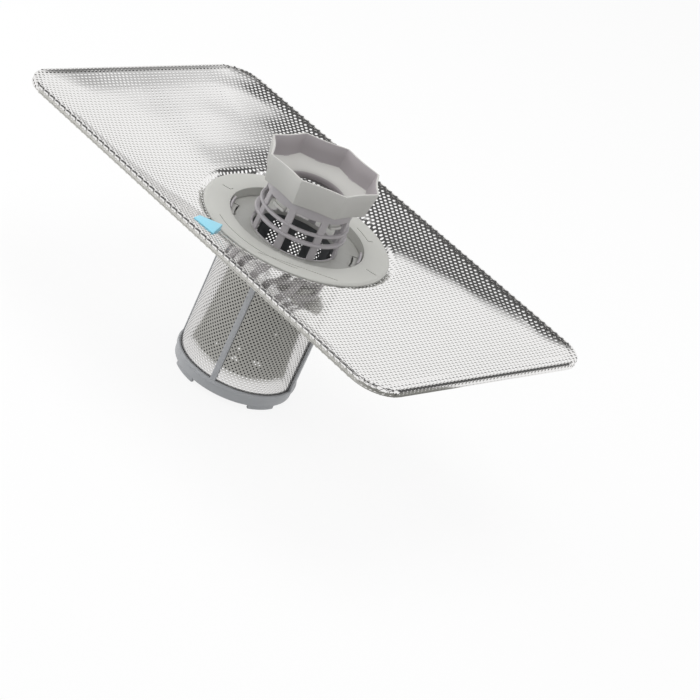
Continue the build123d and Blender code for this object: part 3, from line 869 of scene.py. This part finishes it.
class Finish:
    """The nodes of a material, or of the tree that is given, made one by one."""

    def __init__(self, name, tree=None):
        self.material = None
        if tree is None:
            self.material = bpy.data.materials.new(name)
            self.material.use_nodes = True
            tree = self.material.node_tree
        self.tree = tree
        tree.nodes.clear()

    def node(self, kind, settings=None, sockets=(), output=0):
        """A node with its settings, then its sockets' values or links, by number or name."""
        made = self.tree.nodes.new(kind)
        for setting, value in (settings or {}).items():
            if setting == "stops":
                ramp = made.color_ramp
                for k, (position, colour) in enumerate(value):
                    stop = ramp.elements[k] if k < 2 else ramp.elements.new(position)
                    stop.position = position
                    stop.color = colour
            else:
                setattr(made, setting, value)
        pairs = sockets.items() if isinstance(sockets, dict) else enumerate(sockets)
        for key, value in pairs:
            if isinstance(value, Value):
                self.tree.links.new(value.socket, made.inputs[key])
            else:
                made.inputs[key].default_value = value
        return Value(self, made.outputs[output]) if made.outputs else made

    def place(self):
        """The object's own coordinates, in metres."""
        return self.node("ShaderNodeTexCoord", output="Object")

    def flat_place(self):
        """The place with its height taken out."""
        sockets = [self.place(), (1, 1, 0)]
        return self.node("ShaderNodeVectorMath", {"operation": "MULTIPLY"}, sockets)

    def along(self, axis, place):
        """One of the X, Y and Z of a place."""
        return self.node("ShaderNodeSeparateXYZ", {}, [place], output=axis)

    def ray(self, kind):
        """1 for rays of one kind."""
        return self.node("ShaderNodeLightPath", output=f"Is {kind} Ray")

    def noise(self, scale, detail, place=None):
        sockets = {"Vector": place or self.place(), "Scale": scale, "Detail": detail}
        return self.node("ShaderNodeTexNoise", {}, sockets)

    def ramp(self, value, stops):
        return self.node("ShaderNodeValToRGB", {"stops": stops}, {"Fac": value})

    def blend(self, share, first, second, how="MIX"):
        """Mix of two colours."""
        settings = {"data_type": "RGBA", "blend_type": how}
        return self.node("ShaderNodeMix", settings, {0: share, 6: first, 7: second}, output=2)

    def bump(self, height, strength, distance):
        sockets = {"Strength": strength, "Distance": distance, "Height": height}
        return self.node("ShaderNodeBump", {}, sockets)

    def glow(self, colour):
        return self.node("ShaderNodeEmission", {}, {"Color": colour, "Strength": 1.0})

    def solid(self, colour, roughness, normal, metallic=0.0):
        """End the material with a plain surface."""
        return self.end(self.node("ShaderNodeBsdfPrincipled", {}, {
            "Base Color": colour, "Metallic": metallic, "Roughness": roughness, "Normal": normal,
        }))

    def end(self, shader, kind="ShaderNodeOutputMaterial"):
        """Link the last shader to the output."""
        self.node(kind, {}, [shader])
        return self.material


def grey(level, warmth=0.0):
    """A near-neutral colour; warmth lifts red and lowers blue."""
    return (level * (1 + warmth), level, level * (1 - warmth), 1.0)


def steel(name, light, dark, rough, grain):
    """Rolled stainless: faint streaks along the sheet and a slightly uneven shine."""
    f = Finish(name)
    stretched = f.node("ShaderNodeMapping", {}, {"Vector": f.place(), "Scale": (30, 900, 900)})
    streaks = f.noise(1.0, 4.0, stretched)
    patches = f.noise(18, 2.0)
    colour = f.blend(streaks * 0.5 + patches * 0.5, dark, light)
    roughness = streaks * grain + patches * grain + (rough - grain)
    return f.solid(colour, roughness, f.bump(streaks, 0.05, 0.00005), metallic=1.0)


def plastic(name, colour, rough, second=None, split=None):
    """Moulded plastic: flow marks, a fine matt grain and, if it has a split, a second colour where
    the split gives 1, which on the strainer tube and the cup's inner walls is painted shade.
    """
    f = Finish(name)
    flow = f.noise(45, 2.0)
    grain = f.noise(2600, 2.0)
    base = f.blend(split(f), colour, second) if split else colour
    uneven = 0.06
    level = flow * (uneven * 1.6) + grain * (uneven * 0.4) + (1 - uneven)
    tint = f.blend(1.0, base, level, "MULTIPLY")
    return f.solid(tint, flow * 0.10 + (rough - 0.05), f.bump(grain, 0.12, 0.00008))


def low_floor(f):
    """1 on the dish's floor and below it, which keep a plain grey, 0 on the cage, whose lilac tint
    is painted shade.
    """
    return f.along("Z", f.place()).math("LESS_THAN", (DISH_TOP + 0.7) * MM)


def tube_shade(f):
    """1 on the strainer's tube, which gets near-black painted shade, 0 on the frame round the
    mesh.
    """
    radius = f.node(
        "ShaderNodeVectorMath", {"operation": "LENGTH"}, [f.flat_place()], output="Value"
    )
    return radius.math("LESS_THAN", 0.032)


def inner_wall_shade(f):
    """1 on upright faces that look at the axis, 0 on those that look away; where it is 1 the cup
    gets painted shade.
    """
    sockets = [f.node("ShaderNodeNewGeometry", output="Normal"), f.flat_place()]
    outwards = f.node(
        "ShaderNodeVectorMath", {"operation": "DOT_PRODUCT"}, sockets, output="Value"
    )
    return outwards.math("LESS_THAN", -0.016)


finishes = {
    "perforated_steel": steel("polished steel", grey(0.90, 0.01), grey(0.80, 0.01), 0.09, 0.04),
    "mesh_steel": steel("mesh steel", grey(0.78, 0.01), grey(0.58, 0.02), 0.15, 0.05),
    "blue_plastic": plastic("blue plastic", (0.25, 0.58, 0.72, 1.0), 0.40),
    "light_grey_plastic": plastic("light grey plastic", (0.445, 0.445, 0.42, 1.0), 0.42),
    # The strainer tube takes a near-black second colour: painted shade inside the mesh cylinder.
    "grey_plastic": plastic(
        "grey plastic", (0.36, 0.37, 0.385, 1.0), 0.42,
        second=(0.10, 0.105, 0.11, 1.0), split=tube_shade,
    ),
    # The cage's lilac tint is painted shade; the dish's floor keeps a plain grey.
    "lilac_grey_plastic": plastic(
        "grey plastic with lilac painted shade", (0.41, 0.39, 0.405, 1.0), 0.42,
        second=(0.40, 0.40, 0.38, 1.0), split=low_floor,
    ),
    # The cup's inner walls take a darker lilac second colour: painted shade in the hollow.
    "warm_grey_plastic": plastic(
        "warm grey plastic", (0.49, 0.485, 0.465, 1.0), 0.45,
        second=(0.33, 0.305, 0.315, 1.0), split=inner_wall_shade,
    ),
}
node_slots = {part["node"]: part["material_slot"] for part in frame["record"]["subparts"]}


def coat(shape, node):
    """Give a shape the finish that its node's material slot names."""
    shape.data.materials.clear()
    shape.data.materials.append(finishes[node_slots[node]])


for node, shape in frame["nodes"].items():
    coat(shape, node)


def dress(piece, node, body):
    """Finish the piece, let it ride on its body and stand for its solid."""
    coat(piece, node)
    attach(piece, body)
    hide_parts(node)


dress(make_plate(), "filter_plate", "plate")
dress(make_tab(), "marker_tab", "plate")
dress(make_mesh(), "fine_mesh", "micro_filter")
dress(make_frame(), "mesh_frame", "micro_filter")
dress(make_collar(), "lock_collar", "micro_filter")
dress(make_cage(), "coarse_cage", "coarse_filter")
dress(make_tube(), "strainer_tube", "coarse_filter")
dress(make_cup(), "grip_cup", "coarse_filter")


# Floor, light and camera

def paper(name, light):
    """White paper: seen or mirrored it glows by a share, so that only part of a shadow shows."""
    f = Finish(name)
    seen = f.ray("Camera")
    for kind in ("Glossy", "Transmission"):
        seen = seen.math("MAXIMUM", f.ray(kind))
    surface = f.node("ShaderNodeBsdfDiffuse", {}, {"Color": (0.8, 0.8, 0.8, 1)})
    return f.end(f.node("ShaderNodeMixShader", {}, [seen * light, surface, f.glow(grey(1.0))]))


drop_selection()
bpy.ops.mesh.primitive_plane_add(size=8)
floor = settle("floor")
floor.data.materials.append(paper("white floor", 0.88))

# Dark card just over the floor, which only mirrors see: lighter on the left than on the right
flag = bent_bar(
    "dark flag", inner=72, outer=900, low=0.5, high=1.5, angle=-56, spread=172, cuts=16
)
card = Finish("dark card")
across = card.along("X", card.place())
share = card.node("ShaderNodeMapRange", {}, {"Value": across, "From Min": -0.15, "From Max": 0.35})
dusk = card.blend(share, (0.62, 0.62, 0.59, 1), (0.22, 0.22, 0.205, 1))
flag.data.materials.append(card.end(card.glow(dusk)))
flag.visible_camera = flag.visible_diffuse = False
flag.visible_transmission = flag.visible_shadow = False

# The studio: white to the eye; mirrors see a dark band overhead, and light fades towards the top
world = bpy.data.worlds.new("studio")
bpy.context.scene.world = world
world.use_nodes = True
sky = Finish("studio", world.node_tree)
height = sky.along("Z", sky.node("ShaderNodeTexCoord", output="Generated"))
white, dark = grey(1.0), grey(0.10)
mirrored = sky.ramp(height, [(0.49, white), (0.56, dark), (0.82, dark), (0.90, white)])
lit = sky.ramp(height, [(0.50, white), (0.75, grey(0.40))])
tone = sky.blend(sky.ray("Glossy"), white, mirrored)
tone = sky.blend(sky.ray("Diffuse"), tone, lit)
background = sky.node("ShaderNodeBackground", {}, {"Color": tone, "Strength": 1.0})
sky.end(background, "ShaderNodeOutputWorld")


def softbox(name, place, size, power):
    """Square area light aimed at the part's middle, in metres and watts; mirrors don't see it."""
    drop_selection()
    bpy.ops.object.light_add(type="AREA", location=place)
    lamp = bpy.context.object
    lamp.name = name
    lamp.data.size = size
    lamp.data.energy = power
    aim = Vector((0, 0, 0.1)) - Vector(place)
    lamp.rotation_euler = aim.to_track_quat("-Z", "Y").to_euler()
    lamp.visible_glossy = False


softbox("key light", (-0.10, 0.05, 1.3), 0.9, 9)
softbox("fill light", (-0.9, -0.6, 0.5), 0.8, 5)

# The camera, fitted to the photograph. The axis at the rim's height lies DEPTH millimetres deep
# and is seen at ORIGIN in a picture of 700 pixels; FOCAL is in pixels too.
AZIMUTH, ELEVATION, LEAN = math.radians(34.13), math.radians(26.60), math.radians(25.39)
FOCAL, DEPTH = 2769.5, 1654.7
PICTURE, ORIGIN_X, ORIGIN_Y = 700, 304.0, 213.2
SENSOR = 36
back = Vector((
    math.sin(AZIMUTH) * math.cos(ELEVATION),
    -math.cos(AZIMUTH) * math.cos(ELEVATION),
    math.sin(ELEVATION),
))
level_right = (-back).cross(Vector((0, 0, 1))).normalized()
level_up = level_right.cross(-back)
right = level_right * math.cos(LEAN) + level_up * math.sin(LEAN)
up = level_up * math.cos(LEAN) - level_right * math.sin(LEAN)
aside = (ORIGIN_X - PICTURE / 2) * DEPTH / FOCAL
above = (PICTURE / 2 - ORIGIN_Y) * DEPTH / FOCAL
spot = (back * DEPTH - right * aside - up * above + Vector((0, 0, RIM_TOP))) * MM
drop_selection()
bpy.ops.object.camera_add(location=spot)
camera = bpy.context.object
camera.name = "camera"
camera.matrix_world = (
    Matrix.Translation(spot) @ Matrix((right, up, back)).transposed().to_4x4()
)
camera.data.sensor_width = SENSOR
camera.data.lens = FOCAL * SENSOR / PICTURE
camera.data.clip_end = 20
bpy.context.scene.camera = camera

bpy.context.scene.view_settings.view_transform = "Standard"
